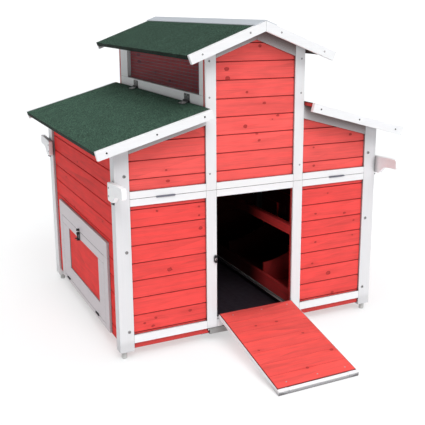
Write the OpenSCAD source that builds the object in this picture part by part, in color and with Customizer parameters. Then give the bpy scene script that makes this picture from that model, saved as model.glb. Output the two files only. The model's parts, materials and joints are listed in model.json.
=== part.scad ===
// Backyard chicken coop: raised gabled centre section between two nest wings with lean-to
// lids, a drop-down ramp door, hinged side hatches and a pull-out droppings tray.
// Millimetres, +Z up, front towards -Y. Origin: centre of the bounding box at ground level.

/* [Body] */
// Outer width over the corner posts
body_w = 1060; // [900:5:1250]
// Outer depth over the corner posts
body_d = 950; // [800:5:1100]
// Outer width of the raised centre section
tower_w = 395; // [340:5:450]
// Height of the feet below the corner posts
foot_h = 28; // [10:1:60]

/* [Frame boards] */
// Face width of the corner posts
post_w = 52; // [40:1:70]
// Depth of the front corner posts
post_d = 42; // [30:1:60]
// Depth of the rear corner posts
rear_post_d = 59; // [40:1:80]
// Face width of the door posts and of the posts above them
door_post_w = 40; // [30:1:55]
// Thickness of the trim boards
trim_t = 8; // [6:1:14]
// Underside of the bottom rails
bottom_rail_z = 58; // [45:1:80]
// Height of the bottom rails
bottom_rail_h = 30; // [20:1:45]
// Height of the seam between the lower and the upper half of the front
seam_z = 580; // [480:5:650]
// Height of each rail beside the seam
mid_rail_h = 25; // [18:1:35]

/* [Plank walls] */
// Thickness of the planks
plank_t = 12; // [9:1:18]
// Height of one plank
plank_pitch = 63.7; // [50:0.1:90]
// Bevel on the outer edges of a plank
plank_bevel = 2.2; // [1:0.1:4]
// Underside of the lowest front and rear plank
plank_z = 35; // [30:1:50]
// Recess of the side planks behind the outer face of the posts
side_recess = 10; // [6:1:16]

/* [Roofs] */
// Pitch of the wing lids in degrees
wing_pitch = 15.6; // [10:0.1:25]
// Half width over the wing lids
wing_eave_x = 607; // [560:1:680]
// Top of a wing lid board at its eave
wing_eave_z = 760; // [700:1:800]
// Pitch of the centre roof in degrees
tower_pitch = 21; // [15:0.1:30]
// Half width over the centre roof
tower_eave_x = 284; // [240:1:320]
// Top of the centre roof board at its eave
tower_eave_z = 1052.5; // [980:0.5:1120]
// Overhang of the roofs in front
roof_front = 66; // [40:1:90]
// Overhang of the roofs behind
roof_rear = 57; // [40:1:90]
// Thickness of the roof boards
roof_t = 12; // [9:1:18]
// Thickness of the roofing felt
felt_t = 2.5; // [1.5:0.1:4]
// Width of the barge boards
barge_w = 32; // [24:1:45]
// Thickness of the barge boards
barge_t = 15; // [10:1:20]

/* [Doors] */
// Length of the ramp, which is the height of the door it closes
ramp_l = 462; // [400:1:480]
// Thickness of the ramp boards
ramp_board_t = 6; // [5:1:10]
// Thickness of the ramp frame
ramp_frame_t = 15; // [11:1:18]
// Height of the side hatch seam above the ground
hatch_z = 76; // [70:1:90]
// Top of the side hatch
hatch_top = 340; // [300:1:360]
// Top of the fixed surround of the side hatch
surround_top = 400; // [380:1:420]

/* [Hidden] */
$fn = 40;
gap = 0.3;                       // clearance between neighbouring fixed boards
half_w = body_w / 2;
half_t = tower_w / 2;
door_x = half_t - door_post_w;   // half width of the door opening
sill_top = bottom_rail_z + bottom_rail_h;
seam_gap = 0.6;                  // half of the seam between the two halves
wing_k = tan(wing_pitch);
tower_k = tan(tower_pitch);
plank_base = plank_z + plank_pitch - 4.7;          // first plank joint above the ground
upper_base = seam_z + seam_gap;                    // plank joints restart above the seam
roof_y0 = -roof_front;
roof_y1 = body_d + roof_rear;

// Hardware
knuckle_r = 3.5;
pin_r = 1.5;
run_fit = 0.05;                  // radial running clearance
leaf_t = 1.2;
small_knuckle_r = 2.5;
small_pin_r = 1.0;

// Ramp: hinge line in front of the sill, free end resting on the ground
ramp_kr = 4;
ramp_axis_y = -ramp_kr;
ramp_axis_z = sill_top + 2.3;
ramp_w = 2 * door_x - 4;
ramp_rebate = 4;                 // depth to which the boards are let into the frame
ramp_t = ramp_board_t + ramp_frame_t - ramp_rebate;
ramp_reach = ramp_l + 1;
ramp_drop = atan(ramp_kr / ramp_reach)
    + asin(ramp_axis_z / sqrt(ramp_reach * ramp_reach + ramp_kr * ramp_kr));
ramp_open = 90 + ramp_drop;      // opening angle from closed to lying on the ground

// Handles
handle_t = 16;
handle_l = 155;
handle_z = 580;
handle_front_y = 25;             // rear end of the front handles
handle_rear_y = body_d - 66;     // front end of the rear handles

// Whole coop is centred on its bounding box
y_min = ramp_axis_y - (ramp_kr + ramp_t) * sin(ramp_drop) - ramp_reach * cos(ramp_drop);
y_max = handle_rear_y + handle_l;
y_shift = -(y_min + y_max) / 2;

red = [0.80, 0.22, 0.17];
white = [0.93, 0.93, 0.91];
green = [0.14, 0.25, 0.19];
zinc = [0.62, 0.64, 0.66];
dark_metal = [0.22, 0.23, 0.24];
rubber_grey = [0.72, 0.72, 0.71];

// ---- roof lines -------------------------------------------------------------------------

function wing_z(x) = wing_eave_z + (wing_eave_x - x) * wing_k;
function tower_z(x) = tower_eave_z + (tower_eave_x - x) * tower_k;
function wing_under(x) = wing_z(x) - roof_t / cos(wing_pitch) - gap;
function tower_under(x) = tower_z(x) - roof_t / cos(tower_pitch) - gap;

// ---- helpers ----------------------------------------------------------------------------

// Everything is drawn with the front of the posts at y = 0 and then centred.
module place() {
    translate([0, y_shift, 0]) children();
}

// Box from its two corners.
module slab(a, b) {
    translate(a) cube([b[0] - a[0], b[1] - a[1], b[2] - a[2]]);
}

// Outline in x and z, extruded along y.
module prism_xz(pts, y0, y1) {
    translate([0, y1, 0]) rotate([90, 0, 0]) linear_extrude(height = y1 - y0) polygon(pts);
}

// Outline in y and z, extruded along x.
module prism_yz(pts, x0, x1) {
    translate([x0, 0, 0]) rotate([90, 0, 90]) linear_extrude(height = x1 - x0) polygon(pts);
}

module both_sides() {
    children();
    mirror([1, 0, 0]) children();
}

// Mirrors a front feature to the rear wall.
module at_rear() {
    translate([0, body_d, 0]) mirror([0, 1, 0]) children();
}

module if_right(side) {
    if (side > 0) children();
    else mirror([1, 0, 0]) children();
}

// Tongue and groove plank along x, outer face at y = 0.
module plank(x0, x1, z0, z1, tongue = true) {
    a = 0.35;
    b = plank_bevel;
    m = plank_t / 2;
    top = tongue
        ? [[m - 1.8, z1 - a], [m - 1.8, z1 + 3.2], [m + 1.8, z1 + 3.2], [m + 1.8, z1 - a]]
        : [];
    pts = concat(
        [[b, z0 + a], [m - 2.2, z0 + a], [m - 2.2, z0 + a + 4], [m + 2.2, z0 + a + 4],
         [m + 2.2, z0 + a], [plank_t, z0 + a], [plank_t, z1 - a]],
        [for (i = [len(top) - 1 : -1 : 0]) top[i]],
        [[b, z1 - a], [0, z1 - a - b], [0, z0 + a + b]]);
    prism_yz(pts, x0, x1);
}

// Courses of planks between two heights, joints at base + n * plank_pitch.
module courses(x0, x1, z0, z1, base) {
    n0 = floor((z0 - base) / plank_pitch);
    n1 = ceil((z1 - base) / plank_pitch) - 1;
    for (n = [n0 : n1]) {
        lo = max(z0, base + n * plank_pitch);
        hi = min(z1, base + (n + 1) * plank_pitch);
        if (hi - lo > 8) plank(x0, x1, lo, hi, n < n1);
    }
}

// Pan-head screw standing on the plane y = 0, head towards -y.
module screw_head(r = 4) {
    rotate([90, 0, 0]) {
        cylinder(r1 = r, r2 = r - 0.4, h = 1.2);
        translate([0, 0, 1.2]) cylinder(r1 = r - 0.4, r2 = r - 1.8, h = 0.9);
    }
}

// Hinge leaf with its pin line along x and its plate along +y between za and zb.
// A centre leaf has the bored middle knuckle, an end leaf has the outer knuckles and the pin.
module leaf(l, w, kr, pr, za, zb, start, centre) {
    k = (l - 0.8) / 3;
    clear = kr + 0.5;
    module knuckle(x0, x1) {
        translate([x0, 0, 0]) rotate([0, 90, 0]) cylinder(r = kr, h = x1 - x0);
        slab([x0, start, za], [x1, clear + 0.5, zb]);
    }
    slab([-l / 2, clear, za], [l / 2, w, zb]);
    if (centre) {
        difference() {
            knuckle(-k / 2, k / 2);
            translate([-k, 0, 0]) rotate([0, 90, 0]) cylinder(r = pr + run_fit, h = 2 * k);
        }
    } else {
        knuckle(-l / 2, -l / 2 + k);
        knuckle(l / 2 - k, l / 2);
        translate([-l / 2, 0, 0]) rotate([0, 90, 0]) cylinder(r = pr, h = l);
    }
}

// ---- posts and trim ---------------------------------------------------------------------

module corner_post(y0, y1) {
    prism_xz([[half_w - post_w, foot_h], [half_w, foot_h], [half_w, wing_under(half_w)],
        [half_w - post_w, wing_under(half_w - post_w)]], y0, y1);
}

module posts_front() {
    color(white) place() both_sides() corner_post(0, post_d);
}

module posts_rear() {
    color(white) place() both_sides() corner_post(body_d - rear_post_d, body_d);
}

module door_posts() {
    color(white) place() both_sides()
        slab([door_x, 0, bottom_rail_z], [half_t, trim_t, seam_z - seam_gap]);
}

module tower_post() {
    prism_xz([[door_x, seam_z + seam_gap], [half_t, seam_z + seam_gap],
        [half_t, tower_under(half_t)], [door_x, tower_under(door_x)]], 0, trim_t);
}

module tower_posts() {
    color(white) place() both_sides() tower_post();
}

module bottom_rail() {
    slab([half_t + gap, 0, bottom_rail_z], [half_w - post_w - gap, trim_t, sill_top]);
}

module bottom_rails() {
    color(white) place() both_sides() bottom_rail();
}

module door_sill() {
    color(white) place()
        slab([-door_x + gap, 0, bottom_rail_z], [door_x - gap, trim_t + plank_t, sill_top]);
}

module mid_rail_lower() {
    slab([half_t + gap, 0, seam_z - seam_gap - mid_rail_h],
        [half_w - post_w - gap, trim_t, seam_z - seam_gap]);
}

module mid_rails_lower() {
    color(white) place() both_sides() mid_rail_lower();
}

module door_header() {
    color(white) place() slab([-door_x + gap, 0, seam_z - seam_gap - mid_rail_h],
        [door_x - gap, trim_t + plank_t, seam_z - seam_gap]);
}

module mid_rail_upper(x0, x1) {
    slab([x0, 0, seam_z + seam_gap], [x1, trim_t, seam_z + seam_gap + mid_rail_h]);
}

module mid_rails_upper() {
    color(white) place() {
        both_sides() mid_rail_upper(half_t + gap, half_w - post_w - gap);
        mid_rail_upper(-door_x + gap, door_x - gap);
    }
}

// Sloping trim boards that follow the roof undersides.
module wing_gable_trim() {
    d = 49;
    x0 = half_t + gap;
    x1 = half_w - post_w - gap;
    prism_xz([[x0, wing_under(x0)], [x1, wing_under(x1)], [x1, wing_under(x1) - d],
        [x0, wing_under(x0) - d]], 0, trim_t);
}

module tower_gable_trim() {
    d = 48;
    x1 = door_x - gap;
    prism_xz([[gap, tower_under(gap)], [x1, tower_under(x1)], [x1, tower_under(x1) - d],
        [gap, tower_under(gap) - d]], 0, trim_t);
}

module gable_trim_front() {
    color(white) place() both_sides() {
        wing_gable_trim();
        tower_gable_trim();
    }
}

module rear_trim() {
    color(white) place() at_rear() {
        both_sides() {
            wing_gable_trim();
            tower_gable_trim();
            tower_post();
            mid_rail_upper(half_t + gap, half_w - post_w - gap);
            bottom_rail();
        }
        mid_rail_upper(-door_x + gap, door_x - gap);
        slab([-half_t + gap, 0, bottom_rail_z], [half_t - gap, trim_t, sill_top]);
    }
}

// ---- plank walls ------------------------------------------------------------------------

// Slot under the sill and under the rear rail for the tray.
tray_x = 187;
slot_x = tray_x + 2;

// Lower front wall of a wing; the planks run on behind the door post.
module lower_planks() {
    x1 = half_w - post_w - gap;
    translate([0, trim_t, 0]) {
        plank(slot_x, x1, plank_z, plank_base);
        plank(door_x, slot_x - gap, bottom_rail_z + 1, plank_base);
        courses(door_x, x1, plank_base, seam_z - seam_gap, plank_base);
    }
}

module front_planks_lower_left() {
    color(red) place() if_right(-1) lower_planks();
}

module front_planks_lower_right() {
    color(red) place() lower_planks();
}

module wing_planks() {
    x0 = half_t + gap;
    x1 = half_w - post_w - gap;
    intersection() {
        translate([0, trim_t, 0])
            courses(x0, x1, seam_z + seam_gap, wing_under(x0) + 3, upper_base);
        prism_xz([[x0 - 1, seam_z - 9], [x1 + 1, seam_z - 9], [x1 + 1, wing_under(x1 + 1)],
            [x0 - 1, wing_under(x0 - 1)]], -1, 60);
    }
}

module front_planks_upper_left() {
    color(red) place() if_right(-1) wing_planks();
}

module front_planks_upper_right() {
    color(red) place() wing_planks();
}

module tower_planks() {
    intersection() {
        translate([0, trim_t, 0])
            courses(-half_t, half_t, seam_z + seam_gap, tower_under(0), upper_base);
        prism_xz([[-half_t - 1, seam_z - 9], [half_t + 1, seam_z - 9],
            [half_t + 1, tower_under(half_t + 1)], [0, tower_under(0)],
            [-half_t - 1, tower_under(half_t + 1)]], -1, 60);
    }
}

module front_planks_tower() {
    color(red) place() tower_planks();
}

// Side wall: three courses stop short of the hatch opening.
hatch_hole_y0 = 200;
hatch_hole_y1 = 740;
side_z0 = 50;
module side_planks() {
    y0 = post_d + gap;
    y1 = body_d - rear_post_d - gap;
    x = half_w - side_recess;
    hole_z0 = plank_base;
    hole_z1 = plank_base + 3 * plank_pitch;
    intersection() {
        translate([x, 0, 0]) rotate([0, 0, 90]) {
            courses(y0, y1, side_z0, hole_z0, plank_base);
            courses(y0, hatch_hole_y0, hole_z0, hole_z1, plank_base);
            courses(hatch_hole_y1, y1, hole_z0, hole_z1, plank_base);
            courses(y0, y1, hole_z1, wing_under(x - plank_t), plank_base);
        }
        prism_xz([[x - plank_t - 5, side_z0 - 1], [x + 5, side_z0 - 1],
            [x + 5, wing_under(x + 5)], [x - plank_t - 5, wing_under(x - plank_t - 5)]], 0, body_d);
    }
}

module side_planks_left() {
    color(red) place() if_right(-1) side_planks();
}

module side_planks_right() {
    color(red) place() side_planks();
}

// Rear wall: the lowest course leaves the slot through which the tray slides out.
module rear_planks_lower() {
    x1 = half_w - post_w - gap;
    color(red) place() at_rear() translate([0, trim_t, 0]) {
        both_sides() plank(slot_x, x1, plank_z, plank_base);
        plank(-slot_x + gap, slot_x - gap, bottom_rail_z + 1, plank_base);
        courses(-x1, x1, plank_base, seam_z - seam_gap, plank_base);
    }
}

module rear_planks_upper() {
    color(red) place() at_rear() {
        both_sides() wing_planks();
        tower_planks();
    }
}

// ---- clerestory windows -----------------------------------------------------------------

win_z0 = 911;
win_z1 = 1036;
win_y0 = 55;
win_y1 = 835;
win_t = 16;
wall_in = trim_t + plank_t + gap;
module window_frame() {
    x0 = half_t - win_t;
    top = tower_under(half_t);
    y0 = wall_in;
    y1 = body_d - wall_in;
    slab([x0, y0, wing_under(half_t) - 30], [half_t, y1, win_z0]);
    slab([x0, y0, win_z1], [half_t, y1, top]);
    slab([x0, y0, win_z0 + gap], [half_t, win_y0, win_z1 - gap]);
    slab([x0, win_y1, win_z0 + gap], [half_t, y1, win_z1 - gap]);
}

module window_frame_left() {
    color(white) place() if_right(-1) window_frame();
}

module window_frame_right() {
    color(white) place() window_frame();
}

// Square welded mesh stapled behind the frame: upright wires, then level wires.
mesh_pitch = 12.7;
wire = 1.1;
module window_mesh() {
    x = half_t - win_t - 0.2;
    y0 = win_y0 - 10;
    z0 = win_z0 - 10;
    ny = floor((win_y1 + 10 - y0) / mesh_pitch);
    nz = floor((win_z1 + 10 - z0) / mesh_pitch);
    for (i = [0 : ny])
        slab([x - wire, y0 + i * mesh_pitch, z0],
            [x, y0 + i * mesh_pitch + wire, z0 + nz * mesh_pitch + wire]);
    for (j = [0 : nz])
        slab([x - 2 * wire, y0, z0 + j * mesh_pitch],
            [x - wire, y0 + ny * mesh_pitch + wire, z0 + j * mesh_pitch + wire]);
}

module window_mesh_left() {
    color(zinc) place() if_right(-1) window_mesh();
}

module window_mesh_right() {
    color(zinc) place() window_mesh();
}

// ---- roofs ------------------------------------------------------------------------------

// Boards and felt lie between the barges, whose top edges are level with the felt.
board_y0 = roof_y0 + barge_t + gap;
board_y1 = roof_y1 - barge_t - gap;

// Piece of a lid between two distances down the slope; a and b are offsets above the top of
// the board, square to the slope.
lid_x0 = half_t + 4;
lid_l = (wing_eave_x - lid_x0) / cos(wing_pitch);
module lid_part(l0, l1, a, b, y0, y1) {
    translate([lid_x0, 0, wing_z(lid_x0)]) rotate([0, wing_pitch, 0])
        slab([l0, y0, a], [l1, y1, b]);
}

module lid_board() {
    lid_part(0, lid_l, -roof_t, 0, board_y0, board_y1);
}

// The felt is turned down over the edge of the board at the eave.
module lid_felt() {
    lid_part(0, lid_l + felt_t, 0.05, felt_t, board_y0, board_y1);
    lid_part(lid_l + 0.05, lid_l + felt_t, -roof_t - 1, felt_t, board_y0, board_y1);
}

module lid_barges() {
    lid_part(0, lid_l, felt_t - barge_w, felt_t, roof_y0, roof_y0 + barge_t);
    lid_part(0, lid_l, felt_t - barge_w, felt_t, roof_y1 - barge_t, roof_y1);
}

// Lid hinges: fixed leaf on the window frame, moving leaf on the felt.
lid_hinge_y = [165, 728];
lid_axis_x = half_t + knuckle_r + 0.05;
lid_axis_z = wing_z(lid_axis_x) + (felt_t + knuckle_r + 0.05) / cos(wing_pitch);
module lid_hinge_at(y) {
    translate([lid_axis_x, y, lid_axis_z]) mirror([1, 0, 0]) rotate([0, 0, 90]) children();
}

module lid_hardware() {
    for (y = lid_hinge_y)
        lid_hinge_at(y) rotate([-wing_pitch, 0, 0])
            leaf(50, 24, knuckle_r, pin_r, -knuckle_r, -knuckle_r + leaf_t, 0, false);
    for (y = [0, 1])
        for (x = [230, 400, 570])
            translate([x, y == 0 ? roof_y0 : roof_y1, wing_z(x) + felt_t - barge_w / 2])
                mirror([0, y, 0]) screw_head(3);
}

module lid_board_left() {
    color(red) place() if_right(-1) lid_board();
}

module lid_board_right() {
    color(red) place() lid_board();
}

module lid_felt_left() {
    color(green) place() if_right(-1) lid_felt();
}

module lid_felt_right() {
    color(green) place() lid_felt();
}

module lid_barges_left() {
    color(white) place() if_right(-1) lid_barges();
}

module lid_barges_right() {
    color(white) place() lid_barges();
}

module lid_hardware_left() {
    color(dark_metal) place() if_right(-1) lid_hardware();
}

module lid_hardware_right() {
    color(dark_metal) place() lid_hardware();
}

// Point of the centre roof at a distance down the slope and a height square to it.
tower_l = tower_eave_x / cos(tower_pitch);
function tower_point(l, h) = [l * cos(tower_pitch) + h * sin(tower_pitch),
    tower_z(0) - l * sin(tower_pitch) + h * cos(tower_pitch)];

// One slope of the centre roof, mitred at the ridge.
module tower_slope(a, b, y0, y1, over = 0) {
    mitre = 0.15;
    prism_xz([[mitre, tower_z(mitre) + a / cos(tower_pitch)], tower_point(tower_l + over, a),
        tower_point(tower_l + over, b), [mitre, tower_z(mitre) + b / cos(tower_pitch)]], y0, y1);
}

module tower_roof_boards() {
    color(red) place() both_sides() tower_slope(-roof_t, 0, board_y0, board_y1);
}

module tower_felt() {
    color(green) place() both_sides() {
        tower_slope(0.05, felt_t, board_y0, board_y1, felt_t);
        prism_xz([tower_point(tower_l + 0.05, -roof_t - 1),
            tower_point(tower_l + felt_t, -roof_t - 1), tower_point(tower_l + felt_t, felt_t),
            tower_point(tower_l + 0.05, felt_t)], board_y0, board_y1);
    }
}

module tower_barges() {
    color(white) place() both_sides() {
        tower_slope(felt_t - barge_w, felt_t, roof_y0, roof_y0 + barge_t);
        tower_slope(felt_t - barge_w, felt_t, roof_y1 - barge_t, roof_y1);
    }
}

// Angled capping over the ridge.
ridge_w = 46;
module ridge_cap() {
    c = cos(tower_pitch);
    lo = felt_t + 0.1;
    hi = felt_t + 3.1;
    color(white) place() prism_xz([
        [0, tower_z(0) + lo / c], [ridge_w * c, tower_z(ridge_w * c) + lo / c],
        [ridge_w * c, tower_z(ridge_w * c) + hi / c], [0, tower_z(0) + hi / c],
        [-ridge_w * c, tower_z(ridge_w * c) + hi / c],
        [-ridge_w * c, tower_z(ridge_w * c) + lo / c]], roof_y0 + 2, roof_y1 - 2);
}

// ---- interior ---------------------------------------------------------------------------

in_x = half_w - side_recess - plank_t - 1;   // inner face of the side planks
nest_x = 190;                                // inner face of the nest boards
floor_top = 70;
module nest_floors() {
    x = half_w - post_w - 1;                 // notched round the corner posts
    color(red) place() both_sides() difference() {
        slab([nest_x + 13, wall_in, floor_top - 10], [in_x, body_d - wall_in, floor_top]);
        slab([x, 0, 0], [half_w, post_d + 1, floor_top + 1]);
        slab([x, body_d - rear_post_d - 1, 0], [half_w, body_d, floor_top + 1]);
    }
}

module floor_bearers() {
    color(white) place() both_sides() {
        slab([nest_x, wall_in, 32.5], [nest_x + 24, body_d - wall_in, floor_top - 10.3]);
        slab([nest_x - 22, wall_in, 28.2], [nest_x + 24, body_d - wall_in, 32.2]);
    }
}

module nest_boards() {
    color(red) place() both_sides()
        slab([nest_x, wall_in, floor_top - 9.7], [nest_x + 12, body_d - wall_in, 117]);
}

// Divider with a top edge that sweeps up towards the side wall.
function sweep(t) = t * t * (3 - 2 * t);
module nest_divider(y) {
    x0 = nest_x + 13;
    x1 = in_x - 1;
    n = 14;
    lo = 157;
    rise = 80;
    prism_xz(concat([[x0, floor_top + gap], [x1, floor_top + gap]],
        [for (i = [n : -1 : 0]) [x0 + (x1 - x0) * i / n, lo + rise * sweep(i / n)]]),
        y - 5, y + 5);
}

module nest_dividers() {
    color(red) place() both_sides() {
        nest_divider(308);
        nest_divider(641);
    }
}

module perches() {
    color(red) place() both_sides()
        prism_xz([[180, 352], [202, 352], [202, 388], [198, 392], [184, 392], [180, 388]],
            wall_in, body_d - wall_in);
}

// Folded sheet tray with a turned-in lip, which slides out at the rear.
tray_z = 32.6;
tray_h = 23;
tray_y0 = 1;
tray_y1 = 938;
tray_lip = 10;
module tray() {
    t = 1;
    color(zinc) place() difference() {
        slab([-tray_x, tray_y0, tray_z], [tray_x, tray_y1, tray_z + tray_h]);
        slab([-tray_x + t, tray_y0 + t, tray_z + t],
            [tray_x - t, tray_y1 - t, tray_z + tray_h - t]);
        slab([-tray_x + tray_lip, tray_y0 + tray_lip, tray_z + t],
            [tray_x - tray_lip, tray_y1 - tray_lip, tray_z + tray_h + 1]);
    }
}

// ---- side hatches -----------------------------------------------------------------------

sur_y0 = 122;
sur_y1 = 818;
sur_w = 45;
hatch_y0 = sur_y0 + sur_w + 1.2;
hatch_y1 = sur_y1 - sur_w - 1.2;
seat_x = half_w - side_recess + gap;      // back plane of the boards on the side wall
hatch_gap = 0.6;
hatch_hinge_y = [274, 706];
hatch_axis_x = half_w + small_knuckle_r;
panel_y0 = 239;
panel_y1 = 668;
panel_z0 = 134;
panel_z1 = 309;
bolt_y = 497;

module hatch_surround() {
    difference() {
        union() {
            slab([seat_x, sur_y0, bottom_rail_z], [half_w, sur_y1, hatch_z - hatch_gap]);
            slab([seat_x, sur_y0, hatch_top + 1.2], [half_w, sur_y1, surround_top]);
            slab([seat_x, sur_y0, hatch_z - hatch_gap + gap],
                [half_w, sur_y0 + sur_w, hatch_top + 1.2 - gap]);
            slab([seat_x, sur_y1 - sur_w, hatch_z - hatch_gap + gap],
                [half_w, sur_y1, hatch_top + 1.2 - gap]);
        }
        for (y = hatch_hinge_y)
            slab([seat_x - 1, y - 20.4, hatch_z - 1.3], [half_w + 1, y + 20.4, hatch_z]);
    }
}

module hatch_surrounds() {
    color(white) place() both_sides() hatch_surround();
}

// Door frame: two rails and two stiles round the red panel.
module hatch_frame() {
    z0 = hatch_z + hatch_gap;
    difference() {
        union() {
            slab([seat_x, hatch_y0, z0], [half_w, hatch_y1, panel_z0]);
            slab([seat_x, hatch_y0, panel_z1], [half_w, hatch_y1, hatch_top]);
            slab([seat_x, hatch_y0, panel_z0 + 0.1], [half_w, panel_y0, panel_z1 - 0.1]);
            slab([seat_x, panel_y1, panel_z0 + 0.1], [half_w, hatch_y1, panel_z1 - 0.1]);
        }
        for (y = hatch_hinge_y)
            slab([seat_x - 1, y - 20.4, hatch_z], [half_w + 1, y + 20.4, hatch_z + 1.3]);
    }
}

module hatch_panel() {
    slab([seat_x, panel_y0 + 0.2, panel_z0 + 0.2],
        [half_w - 4, panel_y1 - 0.2, panel_z1 - 0.2]);
}

module hatch_hinge_at(y) {
    translate([hatch_axis_x, y, hatch_z]) rotate([0, 0, 90]) children();
}

// Moving hinge leaves and the guides of the sliding bolt.
bolt_x = half_w + 7;
bolt_r = 3;
module bolt_guide(z0, z1, r) {
    difference() {
        union() {
            slab([half_w + 0.05, bolt_y - 6, z0], [bolt_x, bolt_y + 6, z1]);
            translate([bolt_x, bolt_y, z0]) cylinder(r = 5, h = z1 - z0);
        }
        translate([bolt_x, bolt_y, z0 - 1]) cylinder(r = r, h = z1 - z0 + 2);
    }
}

module hatch_hardware() {
    for (y = hatch_hinge_y)
        hatch_hinge_at(y)
            leaf(40, 11, small_knuckle_r, small_pin_r, 0.15, 1.15, 1.7, false);
    slab([half_w + 0.05, bolt_y - 9, panel_z1 - 5], [half_w + 1.5, bolt_y + 9, hatch_top - 2]);
    bolt_guide(panel_z1 - 4, panel_z1 + 2, bolt_r + run_fit);
    bolt_guide(hatch_top - 10, hatch_top - 3, bolt_r + run_fit);
}

module bolt() {
    translate([bolt_x, bolt_y, panel_z1 - 3]) cylinder(r = bolt_r, h = hatch_top - panel_z1 + 2);
    translate([bolt_x, bolt_y, panel_z1 + 5.2]) rotate([0, 90, 0]) cylinder(r = 2.4, h = 11);
}

module hatch_frame_left() {
    color(white) place() if_right(-1) hatch_frame();
}

module hatch_frame_right() {
    color(white) place() hatch_frame();
}

module hatch_panel_left() {
    color(red) place() if_right(-1) hatch_panel();
}

module hatch_panel_right() {
    color(red) place() hatch_panel();
}

module hatch_hardware_left() {
    color(dark_metal) place() if_right(-1) hatch_hardware();
}

module hatch_hardware_right() {
    color(dark_metal) place() hatch_hardware();
}

module bolt_left() {
    color(dark_metal) place() if_right(-1) bolt();
}

module bolt_right() {
    color(dark_metal) place() bolt();
}

// ---- ramp door --------------------------------------------------------------------------

// Drawn closed, standing on the sill with its outer face at y = 0, then swung open.
module ramp_pose() {
    translate([0, ramp_axis_y, ramp_axis_z]) rotate([ramp_open, 0, 0])
        translate([0, -ramp_axis_y, 1]) children();
}

ramp_stile = 38;
ramp_side_step = 3;              // the boards stop short of the frame's edges
ramp_end_step = 15;
module ramp_frame() {
    x = ramp_w / 2;
    r = ramp_stile;
    t = ramp_frame_t;
    color(white) place() ramp_pose() difference() {
        union() {
            slab([-x, 0, 0], [-x + r, t, ramp_l]);
            slab([x - r, 0, 0], [x, t, ramp_l]);
            for (z = [0, (ramp_l - r) / 2, ramp_l - r])
                slab([-x + r + 0.1, 0, z], [x - r - 0.1, t, z + r]);
        }
        slab([-x + ramp_side_step - 0.3, t - ramp_rebate, -1],
            [x - ramp_side_step + 0.3, t + 1, ramp_l - ramp_end_step + 0.3]);
    }
}

ramp_boards_n = 7;
module ramp_boards() {
    x = ramp_w / 2 - ramp_side_step;
    p = (ramp_l - ramp_end_step) / ramp_boards_n;
    b = 1;
    y0 = ramp_frame_t - ramp_rebate + 0.05;
    y1 = ramp_t;
    color(red) place() ramp_pose()
        for (i = [0 : ramp_boards_n - 1])
            prism_yz([[y0, i * p + 0.25], [y1 - b, i * p + 0.25], [y1, i * p + 0.25 + b],
                [y1, (i + 1) * p - 0.25 - b], [y1 - b, (i + 1) * p - 0.25],
                [y0, (i + 1) * p - 0.25]], -x, x);
}

ramp_hinge_x = [-95, 95];
module ramp_hinges() {
    color(dark_metal) place()
        for (x = ramp_hinge_x)
            translate([x, ramp_axis_y, ramp_axis_z]) rotate([90 + ramp_open, 0, 0])
                leaf(50, 26, ramp_kr - 0.05, 2, -ramp_kr + 0.05, -ramp_kr + 1.4, 0, false);
}

// ---- latch, handles, feet and hardware --------------------------------------------------

button_x = half_t - door_post_w + 6.5;
button_z = 324;
module turn_button() {
    color(zinc) place() translate([-button_x, -3.9, button_z]) rotate([90, 0, 0])
        linear_extrude(height = 3) difference() {
            union() {
                translate([0, 9]) circle(r = 5.5);
                translate([0, -9]) circle(r = 5.5);
                square([11, 18], center = true);
            }
            circle(r = 2 + run_fit);
        }
}

// Outline in y and z of a carrying handle; its base is at y <= 0 and its grip points to -y.
function handle_outline() = [[0, 4], [-4, 0], [-44, 0], [-52, 3], [-60, 11], [-69, 20],
    [-80, 26], [-95, 30], [-115, 32], [-handle_l + 6, 33], [-handle_l, 37],
    [-handle_l, 64], [-handle_l + 6, 70], [-110, 69], [-60, 66], [-4, 63], [0, 59]];

module carry_handles() {
    color(white) place() both_sides() {
        translate([0, handle_front_y, handle_z])
            prism_yz(handle_outline(), half_w + 0.1, half_w + handle_t);
        translate([0, handle_rear_y, handle_z]) mirror([0, 1, 0])
            prism_yz(handle_outline(), half_w + 0.1, half_w + handle_t);
    }
}

// Round levelling feet under the corner posts.
foot_r = 10;
foot_inset = 20;                 // from the outer face of the post to the middle of the foot
foot_edge = 3;
module feet() {
    color(rubber_grey) place() both_sides()
        for (y = [post_d / 2, body_d - rear_post_d / 2])
            translate([half_w - foot_inset, y, 0]) {
                cylinder(r1 = foot_r - foot_edge / 2, r2 = foot_r, h = foot_edge);
                translate([0, 0, foot_edge]) cylinder(r = foot_r, h = foot_h - foot_edge - 0.1);
            }
}

post_screw_z = [103, 395, 660];
module frame_screws() {
    color(zinc) place() {
        both_sides() {
            for (z = post_screw_z)
                translate([495, 0, z]) screw_head(4.5);
            for (z = [640, 907, 1030])
                translate([183, 0, z]) screw_head(3);
            for (y = [handle_front_y - 12, handle_rear_y + 12])
                for (z = [handle_z + 17, handle_z + 45])
                    translate([half_w + handle_t, y, z]) rotate([0, 0, 90]) screw_head(3.5);
        }
        for (y = [0, 1])
            both_sides()
                for (x = [60, 236])
                    translate([x, y == 0 ? roof_y0 : roof_y1, tower_z(x) + felt_t - barge_w / 2])
                        mirror([0, y, 0]) screw_head(3);
        // Shoulder screw of the turn button
        translate([-button_x, 0, button_z]) rotate([90, 0, 0]) {
            cylinder(r = 5, h = 3.6);
            cylinder(r = 2, h = 8);
            translate([0, 0, 7.2]) cylinder(r1 = 4.2, r2 = 3.4, h = 1.8);
        }
    }
}

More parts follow.
